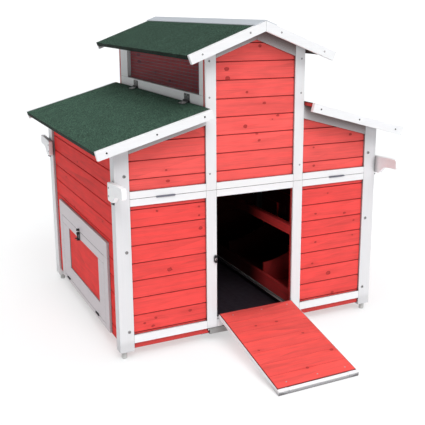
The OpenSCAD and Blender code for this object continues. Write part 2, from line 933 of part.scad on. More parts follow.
// Hinges in the front seam, on which the upper half folds before the posts are fitted.
fold_hinge_x = 350;
fold_hinge_l = 68;
module fold_hinges() {
    r = 2.5;
    color(zinc) place() both_sides() translate([fold_hinge_x - fold_hinge_l / 2, -r - 0.1, seam_z]) {
        rotate([0, 90, 0]) cylinder(r = r, h = fold_hinge_l);
        slab([0, 0, -seam_gap + 0.2], [fold_hinge_l, 10, seam_gap - 0.2]);
    }
}

// Fixed halves of the working hinges and the bolt keepers.
module fixed_hinge_leaves() {
    color(dark_metal) place() {
        both_sides() {
            for (y = lid_hinge_y)
                lid_hinge_at(y) rotate([90, 0, 0])
                    leaf(50, 26, knuckle_r, pin_r, knuckle_r - leaf_t, knuckle_r, 0, true);
            for (y = hatch_hinge_y)
                hatch_hinge_at(y)
                    leaf(40, 11, small_knuckle_r, small_pin_r, -1.15, -0.15, 1.7, true);
            bolt_guide(hatch_top + 5, hatch_top + 12, bolt_r + 0.5);
        }
        for (x = ramp_hinge_x)
            translate([x, ramp_axis_y, ramp_axis_z]) rotate([-90, 0, 0])
                leaf(50, 26, ramp_kr - 0.05, 2, ramp_kr - 1.4, ramp_kr - 0.05, 0, true);
    }
}

// ---- drawing ----------------------------------------------------------------------------

posts_front();
posts_rear();
door_posts();
tower_posts();
bottom_rails();
door_sill();
mid_rails_lower();
door_header();
mid_rails_upper();
gable_trim_front();
rear_trim();
front_planks_lower_left();
front_planks_lower_right();
front_planks_upper_left();
front_planks_upper_right();
front_planks_tower();
side_planks_left();
side_planks_right();
rear_planks_lower();
rear_planks_upper();
window_frame_left();
window_frame_right();
window_mesh_left();
window_mesh_right();
hatch_surrounds();
tower_roof_boards();
tower_felt();
tower_barges();
ridge_cap();
nest_floors();
floor_bearers();
nest_boards();
nest_dividers();
perches();
carry_handles();
feet();
frame_screws();
fold_hinges();
fixed_hinge_leaves();
lid_board_left();
lid_felt_left();
lid_barges_left();
lid_hardware_left();
lid_board_right();
lid_felt_right();
lid_barges_right();
lid_hardware_right();
hatch_frame_left();
hatch_panel_left();
hatch_hardware_left();
bolt_left();
hatch_frame_right();
hatch_panel_right();
hatch_hardware_right();
bolt_right();
ramp_frame();
ramp_boards();
ramp_hinges();
tray();
turn_button();
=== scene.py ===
import json
import math

import bmesh
import bpy
from mathutils import Matrix, Vector


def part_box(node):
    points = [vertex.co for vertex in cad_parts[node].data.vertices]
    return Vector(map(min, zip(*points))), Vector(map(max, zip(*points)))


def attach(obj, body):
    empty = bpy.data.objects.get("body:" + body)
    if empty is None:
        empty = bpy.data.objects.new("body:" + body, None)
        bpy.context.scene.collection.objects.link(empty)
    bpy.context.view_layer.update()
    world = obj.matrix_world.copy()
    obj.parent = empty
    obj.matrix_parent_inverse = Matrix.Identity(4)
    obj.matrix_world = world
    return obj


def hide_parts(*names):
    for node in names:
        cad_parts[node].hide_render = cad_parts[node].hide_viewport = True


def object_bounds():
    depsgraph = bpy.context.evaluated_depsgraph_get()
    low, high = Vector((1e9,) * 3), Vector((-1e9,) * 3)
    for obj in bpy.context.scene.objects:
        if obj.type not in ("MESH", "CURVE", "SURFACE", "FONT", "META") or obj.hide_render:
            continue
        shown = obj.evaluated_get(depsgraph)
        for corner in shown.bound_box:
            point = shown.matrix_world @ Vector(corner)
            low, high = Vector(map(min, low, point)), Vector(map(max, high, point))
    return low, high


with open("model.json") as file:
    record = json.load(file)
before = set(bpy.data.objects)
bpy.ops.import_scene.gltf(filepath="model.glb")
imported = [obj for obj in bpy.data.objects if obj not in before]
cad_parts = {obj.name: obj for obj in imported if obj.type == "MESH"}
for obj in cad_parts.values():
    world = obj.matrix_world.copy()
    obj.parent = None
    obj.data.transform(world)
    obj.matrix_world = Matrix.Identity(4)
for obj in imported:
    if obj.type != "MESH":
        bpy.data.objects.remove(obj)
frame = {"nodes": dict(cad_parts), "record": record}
cad_lo, cad_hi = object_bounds()
nodes = frame["nodes"]
X, Y, Z = 0, 1, 2
MM = 0.001


# ---- node tree helper ---------------------------------------------------------------------

FACING = (0.6, 0.9)             # range over which a face counts as turned a given way
BOTTOM_SHADE_HEIGHT = (0.052, 0.078)  # heights between which the painted shade at the bottom ends
INSIDE_SHADE_LEVEL = 0.07              # painted shade: brightness left on faces that look inside
# The red stain of the inside, darkened as painted shade.
INWARD_STAIN_SHADED = (0.070, 0.009, 0.009)


class Shader:
    """Builds the node tree of one material. Numbers and node outputs mix freely as inputs."""

    def __init__(self, name):
        self.mat = bpy.data.materials.new(name)
        self.mat.use_nodes = True
        self.tree = self.mat.node_tree
        self.bsdf = self.tree.nodes["Principled BSDF"]

    def node(self, kind, **settings):
        n = self.tree.nodes.new("ShaderNode" + kind)
        for k, v in settings.items():
            setattr(n, k, v)
        return n

    def put(self, socket, value):
        if isinstance(value, bpy.types.NodeSocket):
            self.tree.links.new(value, socket)
        else:
            socket.default_value = value

    def math(self, op, *values):
        n = self.node("Math", operation=op)
        for i, v in enumerate(values):
            self.put(n.inputs[i], v)
        return n.outputs[0]

    def add(self, a, b):
        return self.math("ADD", a, b)

    def mul(self, a, b):
        return self.math("MULTIPLY", a, b)

    def smooth(self, x, lo, hi, out_lo=0.0, out_hi=1.0):
        """Smooth step from out_lo at lo to out_hi at hi."""
        n = self.node("MapRange", interpolation_type="SMOOTHSTEP")
        for i, v in enumerate((x, lo, hi, out_lo, out_hi)):
            self.put(n.inputs[i], v)
        return n.outputs[0]

    def vec(self, x, y, z):
        n = self.node("CombineXYZ")
        for i, v in enumerate((x, y, z)):
            self.put(n.inputs[i], v)
        return n.outputs[0]

    def split(self, v):
        n = self.node("SeparateXYZ")
        self.put(n.inputs[0], v)
        return n.outputs

    def noise(self, v, scale, detail=2.0, rough=0.5):
        n = self.node("TexNoise")
        self.put(n.inputs["Vector"], v)
        n.inputs["Scale"].default_value = scale
        n.inputs["Detail"].default_value = detail
        n.inputs["Roughness"].default_value = rough
        return n.outputs["Fac"]

    def cells(self, v, scale):
        n = self.node("TexVoronoi")
        self.put(n.inputs["Vector"], v)
        n.inputs["Scale"].default_value = scale
        return n.outputs["Distance"]

    def mix(self, fac, a, b):
        n = self.node("Mix", data_type="RGBA")
        self.put(n.inputs[0], fac)
        for socket, v in ((n.inputs[6], a), (n.inputs[7], b)):
            self.put(socket, v if isinstance(v, bpy.types.NodeSocket) else (*v, 1.0))
        return n.outputs[2]

    def scale(self, colour, value):
        n = self.node("VectorMath", operation="SCALE")
        self.put(n.inputs[0], colour)
        self.put(n.inputs["Scale"], value)
        return n.outputs[0]

    def bump(self, height, distance, strength=1.0):
        n = self.node("Bump")
        n.inputs["Strength"].default_value = strength
        n.inputs["Distance"].default_value = distance
        self.put(n.inputs["Height"], height)
        self.put(self.bsdf.inputs["Normal"], n.outputs[0])

    def coords(self):
        return self.node("TexCoord").outputs

    def island(self):
        return self.node("NewGeometry").outputs["Random Per Island"]

    def occlusion_shade(self, colour, dark, reach=0.05, lo=0.38, hi=0.86):
        """Painted shade: darkens corners, joints and sheltered places by how little of the sky
        they see. reach is in metres; lo and hi are the openness at which the painted shade is
        full and gone."""
        n = self.node("AmbientOcclusion", samples=12)
        n.inputs["Distance"].default_value = reach
        return self.mix(self.smooth(n.outputs["AO"], lo, hi), dark, colour)

    def inner(self, colour, sides):
        """Painted shade on the faces that look into the coop: sides is a list of (axis, sign)."""
        n = self.split(self.coords()["Normal"])
        for axis, sign in sides:
            level = self.smooth(self.mul(n[axis], sign), *FACING, 1.0, INSIDE_SHADE_LEVEL)
            colour = self.scale(colour, level)
        return colour

    def bottom_shade(self, colour, keep):
        """Painted shade: darkens the lowest few centimetres."""
        height = self.split(self.coords()["Object"])[Z]
        return self.scale(colour, self.smooth(height, *BOTTOM_SHADE_HEIGHT, keep, 1.0))

    def inward_stain_and_shade(self, colour):
        """Red stain darkened by painted shade on faces that look at the coop's middle plane."""
        n, p = self.split(self.coords()["Normal"]), self.split(self.coords()["Object"])
        turned = self.mul(self.mul(n[X], self.math("SIGN", p[X])), -1.0)
        return self.mix(self.smooth(turned, *FACING), colour, INWARD_STAIN_SHADED)

    def finish(self, colour, rough, metallic=0.0, specular=0.5):
        self.put(self.bsdf.inputs["Base Color"],
                 colour if isinstance(colour, bpy.types.NodeSocket) else (*colour, 1.0))
        self.put(self.bsdf.inputs["Roughness"], rough)
        self.bsdf.inputs["Metallic"].default_value = metallic
        self.bsdf.inputs["Specular IOR Level"].default_value = specular
        return self.mat


# ---- materials ------------------------------------------------------------------------------

# The reds for the upper front, the sides, the upper rear and the nests are lit and shaded copies
# of RED, the stain's own colour: painted light and painted shade.
RED, RED_HIGH_LIT, RED_SIDE_SHADED = (0.80, 0.072, 0.066), (0.87, 0.108, 0.098), (0.81, 0.047, 0.043)
RED_REAR_LIT, RED_INSIDE_LIT = (0.92, 0.10, 0.095), (0.95, 0.075, 0.075)
RED_ROOF, RED_RAMP = (0.60, 0.050, 0.040), (0.80, 0.092, 0.082)
# Stain in joints and knots, the dark red of painted shade, and the colour of the knots.
RED_DEEP, RED_SHADE, RED_KNOT = (0.30, 0.010, 0.012), (0.12, 0.003, 0.004), (0.50, 0.04, 0.036)
# The whites for the rails, posts, handles and hatches are lit and shaded copies of WHITE, the
# paint's own colour: painted light and painted shade.
WHITE, WHITE_RAIL_LIT, WHITE_POST_SHADED = (0.785, 0.79, 0.80), (0.83, 0.835, 0.845), (0.72, 0.72, 0.735)
WHITE_HANDLE_LIT, WHITE_HATCH_SHADED, SCUFF = (0.93, 0.935, 0.94), (0.61, 0.56, 0.58), (0.52, 0.52, 0.53)
WOOD_ROUGH, PAINT_ROUGH = 0.6, 0.42
BOARD_SHIFT = 7.3  # how far the grain of one board can lie from the next one's, metres


def wood_axes(s, along, across):
    """Coordinates along, across and through a board, the one along it shifted from board to
    board, how squarely a face looks through the board, and the board's own random number."""
    c = s.coords()
    p = s.split(c["Object"])
    third = 3 - along - across
    island = s.island()
    shifted = s.add(p[along], s.mul(island, BOARD_SHIFT))
    square = s.math("ABSOLUTE", s.split(c["Normal"])[third])
    return p[along], p[across], p[third], shifted, square, island


def knot_pattern(s, a0, u0, w0, knots):
    """Strength of the core and of the halo of the knots, and how far they push the grain
    aside. knots is a list of (along, across, radius)."""
    core, halo, warp = 0.0, 0.0, 0.0
    wobble = s.mul(s.add(s.noise(s.vec(a0, u0, w0), 160.0, 2.0), -0.5), 0.9)
    for ka, ku, kr in knots:
        da = s.mul(s.add(a0, -ka), 0.72 / kr)
        du = s.mul(s.add(u0, -ku), 1.0 / kr)
        d = s.add(s.math("SQRT", s.add(s.mul(da, da), s.mul(du, du))), wobble)
        core = s.math("MAXIMUM", core, s.smooth(d, 1.25, 0.55))
        long_d = s.math("SQRT", s.add(s.mul(s.mul(da, da), 0.12), s.mul(du, du)))
        near = s.smooth(long_d, 3.2, 0.4)
        halo = s.math("MAXIMUM", halo, near)
        side = s.math("DIVIDE", du, s.add(d, 1.6))
        warp = s.add(warp, s.mul(s.mul(side, near), kr * 0.9))
    return core, halo, warp


def stained_wood(name, along, across, base, knots=(), inside=(), joints=0.40, gloss=0.22,
                 depth_shade=None, painted_shade=(0.34, 0.80), rim=None):
    """Red translucent stain on knotty pine. inside lists the (axis, sign) of faces that look
    into the coop and get painted shade, joints is how dark the edges of the boards are,
    depth_shade the Y range of the painted shade towards the back, painted_shade the openness
    over which corners get painted shade, and rim the node whose outline gets a painted shadow
    line."""
    s = Shader(name)
    a0, u0, w0, a, square, island = wood_axes(s, along, across)
    core, halo, warp = knot_pattern(s, a0, u0, w0, knots)

    # Growth bands, fine grain lines and broad patches, each board a little different.
    drift = s.mul(s.noise(s.vec(a, s.mul(u0, 7.0), s.mul(w0, 4.0)), 2.6, 1.0), 0.016)
    g = s.add(s.math("SUBTRACT", u0, warp), drift)
    bands = s.noise(s.vec(s.mul(a, 1.6), s.mul(g, 42.0), s.mul(w0, 20.0)), 1.6, 3.0, 0.55)
    lines = s.noise(s.vec(s.mul(a, 5.0), s.mul(g, 260.0), s.mul(w0, 90.0)), 2.0, 3.0, 0.6)
    patch = s.noise(s.vec(s.mul(a, 5.0), s.mul(u0, 9.0), w0), 2.2, 2.0)
    tone = s.add(1.0, s.mul(s.add(bands, -0.5), 0.62))
    tone = s.add(tone, s.mul(s.add(lines, -0.5), 0.40))
    tone = s.add(tone, s.mul(s.add(patch, -0.5), 0.30))
    tone = s.add(tone, s.mul(s.add(island, -0.5), 0.12))
    lean = s.smooth(bands, 0.42, 0.72)
    colour = s.mix(s.mul(lean, 0.28), base, (base[0] * 0.80, base[1] * 0.46, base[2] * 0.42))
    colour = s.scale(colour, tone)
    if knots:
        colour = s.mix(s.mul(halo, 0.14), colour, RED_DEEP)
        ring = s.smooth(core, 0.05, 0.5)
        bark = (RED_DEEP[0] * 0.62, RED_DEEP[1] * 0.8, RED_DEEP[2] * 0.8)
        colour = s.mix(s.mul(ring, 0.72), colour, bark)
        colour = s.mix(s.mul(s.smooth(core, 0.80, 1.0), 0.7), colour, RED_KNOT)

    # Joints, corners, outline and the dark inside.
    # Dark joints, then painted shade: in corners, as a shadow line round the outline, on the
    # inside, at the bottom and towards the back.
    colour = s.mix(s.mul(s.smooth(square, 0.985, 0.80), joints), colour, RED_DEEP)
    if painted_shade:
        colour = s.occlusion_shade(colour, RED_SHADE, lo=painted_shade[0], hi=painted_shade[1])
    if rim:
        low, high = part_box(rim)
        for value, axis in ((a0, along), (u0, across)):
            for gap in (s.add(value, -low[axis]), s.math("SUBTRACT", high[axis], value)):
                colour = s.mix(s.smooth(gap, 0.0005, 0.0026), (0.13, 0.010, 0.010), colour)
    colour = s.inner(colour, inside)
    if across == Z:
        colour = s.bottom_shade(colour, 0.70)
    if depth_shade:
        colour = s.scale(colour, s.smooth(s.split(s.coords()["Object"])[Y], *depth_shade, 1.0, 0.05))
    s.bump(s.add(s.mul(lines, 0.6), s.mul(bands, 0.8)), 0.0005, 0.5)
    return s.finish(colour, s.add(WOOD_ROUGH, s.mul(s.add(lines, -0.5), 0.16)), specular=gloss)


def white_paint(name, along, across, base=WHITE, red_side=None, inside=(), inward_stain_and_shade=False,
                shade=(0.13, 0.12, 0.125), reach=0.05, open_sky=0.84):
    """White paint over pine: faint raised grain, brush marks and a few grey scuffs. red_side
    is the (axis, sign) of faces that have the red stain of the walls inside; inside lists those
    that look into the coop, which get painted shade; inward_stain_and_shade gives the ones that
    look at its middle plane a dark red stain with painted shade; shade, reach and open_sky set
    the colour, size and spread of the painted shade in sheltered places."""
    s = Shader(name)
    _, u0, w0, a, _, island = wood_axes(s, along, across)
    grain = s.noise(s.vec(s.mul(a, 4.0), s.mul(u0, 170.0), s.mul(w0, 170.0)), 1.8, 3.0, 0.6)
    bands = s.noise(s.vec(s.mul(a, 1.5), s.mul(u0, 30.0), s.mul(w0, 30.0)), 2.0, 2.0)
    scuff = s.noise(s.vec(s.mul(a, 14.0), s.mul(u0, 26.0), s.mul(w0, 26.0)), 3.0, 4.0, 0.65)
    tone = s.add(1.0, s.mul(s.add(grain, -0.5), 0.07))
    tone = s.add(tone, s.mul(s.add(bands, -0.5), 0.07))
    colour = s.scale(s.mix(island, base, (base[0] * 0.985, base[1] * 0.985, base[2])), tone)
    colour = s.mix(s.smooth(scuff, 0.66, 0.78, 0.0, 0.22), colour, SCUFF)
    if red_side:
        axis, sign = red_side
        n = s.split(s.coords()["Normal"])
        colour = s.mix(s.smooth(s.mul(n[axis], sign), *FACING), colour, RED)
    # Painted shade in corners and sheltered places, then on the inside, at the bottom and on the
    # faces turned inward.
    colour = s.occlusion_shade(colour, shade, reach, lo=open_sky - 0.54, hi=open_sky)
    if inside:
        # Only between the side walls: the same faces outside them stay white.
        wall, blend = -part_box("side_planks_left")[1][X], 0.002
        from_middle = s.math("ABSOLUTE", s.split(s.coords()["Object"])[X])
        outside = s.smooth(from_middle, wall - blend, wall + blend)
        colour = s.mix(outside, s.inner(colour, inside), colour)
    if along == Z:
        colour = s.bottom_shade(colour, 0.86)
    if inward_stain_and_shade:
        colour = s.inward_stain_and_shade(colour)
    s.bump(s.add(grain, s.mul(bands, 0.5)), 0.0004, 0.45)
    return s.finish(colour, s.add(PAINT_ROUGH, s.mul(s.add(grain, -0.5), 0.12)), specular=0.3)


def felt(name, level):
    """Mineral felt: coarse green granules in bitumen."""
    s = Shader(name)
    p = s.coords()["Object"]
    grains = s.cells(p, 520.0)
    clumps = s.noise(p, 190.0, 3.0, 0.65)
    blotch = s.noise(p, 14.0, 3.0, 0.6)
    lift = s.add(s.mul(clumps, 0.8), s.mul(s.math("SUBTRACT", 0.6, grains), 0.5))
    colour = s.mix(s.smooth(lift, 0.34, 0.63), (0.006, 0.020, 0.013), (0.068, 0.140, 0.098))
    pale = s.smooth(s.noise(p, 300.0, 1.0), 0.62, 0.74)
    colour = s.mix(s.mul(pale, 0.6), colour, (0.15, 0.25, 0.185))
    colour = s.scale(colour, s.smooth(blotch, 0.25, 0.75, 0.88 * level, 1.12 * level))
    # Painted shade in sheltered places and on faces that turn away from the sky.
    colour = s.occlusion_shade(colour, (0.004, 0.010, 0.007), lo=0.35, hi=0.75)
    colour = s.scale(colour, s.smooth(s.split(s.coords()["Normal"])[Z], 0.3, 0.7, 0.30, 1.0))
    s.bump(lift, 0.0012, 0.8)
    return s.finish(colour, 0.88, specular=0.22)


def metal(name, colour, rough, metallic, spots=0.10, scale=90.0):
    """Sheet or wire with uneven plating, and painted shade in its crevices."""
    s = Shader(name)
    p = s.coords()["Object"]
    flake = s.cells(p, scale)
    cloud = s.noise(p, scale * 0.5, 3.0, 0.6)
    tone = s.add(1.0, s.mul(s.add(flake, -0.4), spots))
    tone = s.add(tone, s.mul(s.add(cloud, -0.5), spots * 1.6))
    s.bump(cloud, 0.0002, 0.3)
    shade = s.occlusion_shade(s.scale(colour, tone), (0.02, 0.02, 0.02), 0.006, 0.3, 0.8)
    return s.finish(shade, s.add(rough, s.mul(s.add(cloud, -0.5), 0.2)), metallic)


def tray_sheet(name):
    """Galvanised sheet: a grey front, painted light on its rim near the front, and painted
    shade on its floor and on the rim further back.
    """
    s = Shader(name)
    p = s.coords()["Object"]
    x, y, z = s.split(p)
    lo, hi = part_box("tray")
    flake = s.cells(p, 45.0)
    streak = s.noise(s.vec(s.mul(x, 60.0), s.mul(y, 6.0), s.mul(z, 6.0)), 2.0, 3.0)
    face = s.smooth(y, lo[Y] + 0.002, lo[Y] + 0.0005)
    # Painted light on the rim gives way to painted shade from 0.1 to 0.3 m behind the front.
    rim = s.smooth(z, hi[Z] - 0.003, hi[Z] - 0.0015)
    rim = s.mul(rim, s.smooth(y, lo[Y] + 0.10, lo[Y] + 0.30, 1.0, 0.10))
    painted_shade = s.mix(streak, (0.018, 0.010, 0.013), (0.050, 0.042, 0.058))
    colour = s.mix(rim, painted_shade, (0.50, 0.51, 0.52))
    colour = s.mix(face, colour, (0.29, 0.30, 0.295))
    colour = s.scale(colour, s.add(1.0, s.mul(s.add(flake, -0.4), 0.25)))
    s.bump(streak, 0.0002, 0.3)
    return s.finish(colour, s.add(0.5, s.mul(s.add(flake, -0.5), 0.15)), 0.35)


def dull(name, colour, rough, scale, spread=0.2, gloss=0.5):
    """Rubber, painted hardware and other plain finishes with a fine mottle."""
    s = Shader(name)
    p = s.coords()["Object"]
    n = s.noise(p, scale, 3.0, 0.6)
    s.bump(n, 0.0003, 0.5)
    return s.finish(s.scale(colour, s.add(1.0, s.mul(s.add(n, -0.5), spread))), rough,
                    specular=gloss)


PLANK, GROUND_PLANK = 63.7 * MM, 59 * MM  # heights of a plank and of the lowest one


def x_range(node):
    lo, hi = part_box(node)
    return lo[X], hi[X]


def knots_at(between, base, step, spots):
    """Knots as (along, across, radius) in metres, from spots: the share of the way between two
    X positions, the number of steps up from base, and the radius in mm."""
    lo, hi = between
    return [(lo + (hi - lo) * share, base + step * steps, radius * MM)
            for share, steps, radius in spots]


# On the front walls a step is a plank, counted from the lowest joint or from the seam.
wing_left, wing_right = x_range("front_planks_upper_left"), x_range("front_planks_upper_right")
tower = x_range("door_sill")  # as wide as the planks that show between the tower posts
first_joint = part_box("front_planks_lower_left")[0][Z] + GROUND_PLANK
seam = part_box("front_planks_tower")[0][Z]
KNOTS_LOWER_LEFT = knots_at(wing_left, first_joint, PLANK, [
    (0.35, 6.8, 3.5), (0.91, 6.75, 3), (0.91, 6.25, 3.5), (0.93, 5.5, 5.5), (0.50, 3.35, 6.5),
    (0.77, 0.7, 4.5), (0.30, 0.65, 4), (0.15, 0.45, 3.5), (0.26, 0.2, 4.5)])
KNOTS_LOWER_RIGHT = knots_at(wing_right, first_joint, PLANK, [
    (0.48, 1.45, 7.5), (0.25, 3.6, 3.5), (0.24, 5.4, 3.5), (0.72, 5.2, 4.5), (0.88, 4.65, 3),
    (0.56, 0.1, 5), (0.21, 2.25, 3.5), (0.43, 6.6, 2.5), (0.87, 3.7, 2.5)])
KNOTS_UPPER_LEFT = knots_at(wing_left, seam, PLANK, [(0.50, 0.75, 5), (0.48, 1.35, 3)])
KNOTS_UPPER_RIGHT = knots_at(wing_right, seam, PLANK, [
    (0.77, 2.45, 4.5), (0.18, 1.85, 3), (0.19, 0.75, 4)])
KNOTS_TOWER = knots_at(tower, seam, PLANK, [
    (0.14, 6.6, 6.5), (0.15, 6.1, 6.5), (0.39, 5.3, 4), (0.61, 4.65, 4.5), (0.79, 3.9, 4),
    (0.37, 3.4, 6), (0.52, 2.95, 4), (0.55, 2.55, 4), (0.55, 7.8, 5), (0.72, 3.7, 2)])

# On the ramp a step is its whole length, from the low end to the hinge.
ramp_lo, ramp_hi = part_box("ramp_boards")
KNOTS_RAMP = knots_at(x_range("ramp_boards"), ramp_lo[Y], ramp_hi[Y] - ramp_lo[Y], [
    (0.59, 0.75, 4), (0.31, 0.75, 3.5), (0.78, 0.54, 3.5), (0.93, 0.27, 5), (0.49, 0.14, 4.5),
    (0.12, 0.45, 3)])

# The side walls' knots, as (y, z, radius) in metres, are spread freely.
KNOTS_SIDE = [(-0.10, 0.46, 0.003), (0.22, 0.62, 0.0035), (0.42, 0.52, 0.003),
              (-0.05, 0.70, 0.003), (0.30, 0.42, 0.003)]

NEST_SHADE_SPAN = (0.23, 0.42)  # metres behind the front posts over which painted shade darkens nests
front_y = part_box("posts_front")[0][Y]

# Faces that look into the coop, as (axis, sign), by the wall that they belong to.
IN_FRONT, IN_REAR, IN_LEFT, IN_RIGHT, IN_TOP = (Y, 1), (Y, -1), (X, 1), (X, -1), (Z, -1)

paint_x = white_paint("white_paint_x", X, Z, WHITE_RAIL_LIT)
paint_z = white_paint("white_paint_z", Z, X)
paint_post = white_paint("white_paint_posts", Z, X, WHITE_POST_SHADED)
paint_rear = white_paint("white_paint_rear_posts", Z, X, inside=[IN_REAR], inward_stain_and_shade=True)
# Painted shade under the barges of the gables.
paint_gable = white_paint("white_paint_gable", X, Z, shade=(0.15, 0.095, 0.09), reach=0.16,
                          open_sky=0.96)
paint_y = white_paint("white_paint_y", Y, Z)
red_tower = stained_wood("red_stain_tower", X, Z, RED_HIGH_LIT, KNOTS_TOWER)
red_ll = stained_wood("red_stain_lower_left", X, Z, RED, KNOTS_LOWER_LEFT, [IN_FRONT])
red_lr = stained_wood("red_stain_lower_right", X, Z, RED, KNOTS_LOWER_RIGHT, [IN_FRONT])
red_ul = stained_wood("red_stain_upper_left", X, Z, RED_HIGH_LIT, KNOTS_UPPER_LEFT, [IN_FRONT])
red_ur = stained_wood("red_stain_upper_right", X, Z, RED_HIGH_LIT, KNOTS_UPPER_RIGHT, [IN_FRONT])
red_side_left = stained_wood("red_stain_side_left", Y, Z, RED_SIDE_SHADED, KNOTS_SIDE, [IN_LEFT],
                             joints=0.10, gloss=0.06, painted_shade=(0.0, 0.56))
red_side_right = stained_wood("red_stain_side_right", Y, Z, RED_SIDE_SHADED, KNOTS_SIDE, [IN_RIGHT],
                              joints=0.10, gloss=0.06, painted_shade=(0.0, 0.56))
red_rear = stained_wood("red_stain_rear", X, Z, RED, KNOTS_TOWER, [IN_REAR])
# The upper rear planks, seen through the windows, get painted light: a brighter red.
red_rear_top = stained_wood("red_stain_rear_upper", X, Z, RED_REAR_LIT, KNOTS_TOWER, painted_shade=None)
# The nests: painted light near the door, and painted shade towards the back.
red_in = stained_wood("red_stain_inside", Y, Z, RED_INSIDE_LIT,
                      depth_shade=(front_y + NEST_SHADE_SPAN[0], front_y + NEST_SHADE_SPAN[1]), painted_shade=None)
red_roof = stained_wood("red_stain_roof", Y, X, RED_ROOF, (), [IN_TOP])
red_ramp = stained_wood("red_stain_ramp", X, Y, RED_RAMP, KNOTS_RAMP, joints=0.08,
                        painted_shade=(0.0, 0.45), rim="ramp_boards")
# One felt, with painted light on the lids and painted shade on the tower's roof.
felt_lid = felt("roofing_felt_lids", 1.22)
felt_top = felt("roofing_felt_top", 0.92)
paint_window_left = white_paint("white_paint_window_left", Y, Z, red_side=IN_LEFT)
paint_window_right = white_paint("white_paint_window_right", Y, Z, red_side=IN_RIGHT)
paint_handle = white_paint("white_paint_handles", Y, Z, WHITE_HANDLE_LIT)
paint_hatch = white_paint("white_paint_hatches", Y, Z, WHITE_HATCH_SHADED, inward_stain_and_shade=True)
# The wire's pink tint is painted light: the red glow of the walls behind it.
zinc = metal("galvanised_wire", (0.37, 0.21, 0.245), 0.5, 0.5)
pin = metal("hinge_pin_steel", (0.15, 0.16, 0.21), 0.45, 0.6)
tray_zinc = tray_sheet("galvanised_sheet")
bright = metal("zinc_plate", (0.62, 0.62, 0.62), 0.30, 0.9)
screw = metal("screw_zinc", (0.50, 0.50, 0.50), 0.35, 0.85, 0.2, 300.0)
black = dull("black_coated_steel", (0.016, 0.016, 0.018), 0.38, 160.0, gloss=0.25)
rubber = dull("grey_rubber", (0.52, 0.52, 0.51), 0.6, 120.0)
ridge = dull("ridge_paint", (0.55, 0.585, 0.63), 0.45, 60.0, 0.1)


def bevelled(o, width):
    """Rounds a CAD node's edges with modifiers only."""
    weld = o.modifiers.new("weld", "WELD")
    weld.merge_threshold = 0.00002
    b = o.modifiers.new("bevel", "BEVEL")
    b.width = width
    b.segments = 2
    b.limit_method = "ANGLE"
    b.angle_limit = math.radians(35)
    b.harden_normals = False


def finish_node(name, mat, width=0.0):
    """Gives a CAD node its material, and rounds its edges where a width is given."""
    o = nodes[name]
    for slot in o.material_slots:
        slot.link = "OBJECT"
        slot.material = mat
    if width:
        bevelled(o, width)


TRIM_EDGE, PLANK_EDGE, BOARD_EDGE, BUTTON_EDGE = 0.0011, 0.0006, 0.0008, 0.0005

for name, mat in {"posts_front": paint_post, "posts_rear": paint_rear, "door_posts": paint_z,
                  "tower_posts": paint_z, "bottom_rails": paint_x, "door_sill": paint_x,
                  "mid_rails_lower": paint_x, "door_header": paint_x, "mid_rails_upper": paint_x,
                  "gable_trim_front": paint_gable, "rear_trim": paint_x,
                  "window_frame_left": paint_window_left, "window_frame_right": paint_window_right,
                  "hatch_surrounds": paint_hatch,
                  "hatch_frame_left": paint_hatch, "hatch_frame_right": paint_hatch,
                  "tower_barges": paint_x, "lid_barges_left": paint_x, "lid_barges_right": paint_x,
                  "carry_handles": paint_handle, "ramp_frame": paint_x,
                  "floor_bearers": paint_y}.items():
    finish_node(name, mat, TRIM_EDGE)
for name, mat in {"front_planks_lower_left": red_ll, "front_planks_lower_right": red_lr,
                  "front_planks_upper_left": red_ul, "front_planks_upper_right": red_ur,
                  "front_planks_tower": red_tower, "side_planks_left": red_side_left,
                  "side_planks_right": red_side_right, "rear_planks_lower": red_rear,
                  "rear_planks_upper": red_rear_top}.items():
    finish_node(name, mat, PLANK_EDGE)
for name, mat in {"hatch_panel_left": red_side_left, "hatch_panel_right": red_side_right,
                  "ramp_boards": red_ramp, "nest_floors": red_in, "nest_boards": red_in,
                  "nest_dividers": red_in, "perches": red_in, "tower_roof_boards": red_roof,
                  "lid_board_left": red_roof, "lid_board_right": red_roof}.items():
    finish_node(name, mat, BOARD_EDGE)
for name, mat in {"tower_felt": felt_top, "lid_felt_left": felt_lid,
                  "lid_felt_right": felt_lid, "ridge_cap": ridge}.items():
    finish_node(name, mat, BOARD_EDGE)
for name in ("window_mesh_left", "window_mesh_right"):
    finish_node(name, zinc)
finish_node("tray", tray_zinc)
finish_node("turn_button", black, BUTTON_EDGE)
finish_node("fold_hinges", pin)
finish_node("feet", rubber)
for name in ("fixed_hinge_leaves", "ramp_hinges", "lid_hardware_left", "lid_hardware_right",
             "hatch_hardware_left", "hatch_hardware_right", "bolt_left", "bolt_right"):
    finish_node(name, black)


# ---- fixings --------------------------------------------------------------------------------

LATHE_SIDES = 32
HEAD_EDGE = 0.15 * MM  # rounding of heads and plates


def loose_parts(node):
    """Boxes (low, high) of the separate solids of a CAD node."""
    bm = bmesh.new()
    bm.from_mesh(nodes[node].data)
    bmesh.ops.remove_doubles(bm, verts=bm.verts, dist=0.02 * MM)
    boxes, seen = [], set()
    for first in bm.verts:
        if first in seen:
            continue
        seen.add(first)
        stack, part = [first], []
        while stack:
            v = stack.pop()
            part.append(v.co.copy())
            for other in (e.other_vert(v) for e in v.link_edges):
                if other not in seen:
                    seen.add(other)
                    stack.append(other)
        boxes.append((Vector([min(c[i] for c in part) for i in range(3)]),
                      Vector([max(c[i] for c in part) for i in range(3)])))
    bm.free()
    return boxes


# Hinge leaf, in mm; the last two are shares of its length and width.
LEAF_LENGTH, LEAF_START, LEAF_THICK = 49, 4, 0.5
LEAF_STEPS, LEAF_NECK, LEAF_ROUND = 14, 0.62, 0.6
LEAF_SCREWS = ((-0.30, 0.58), (0.30, 0.58), (0.0, 0.84))


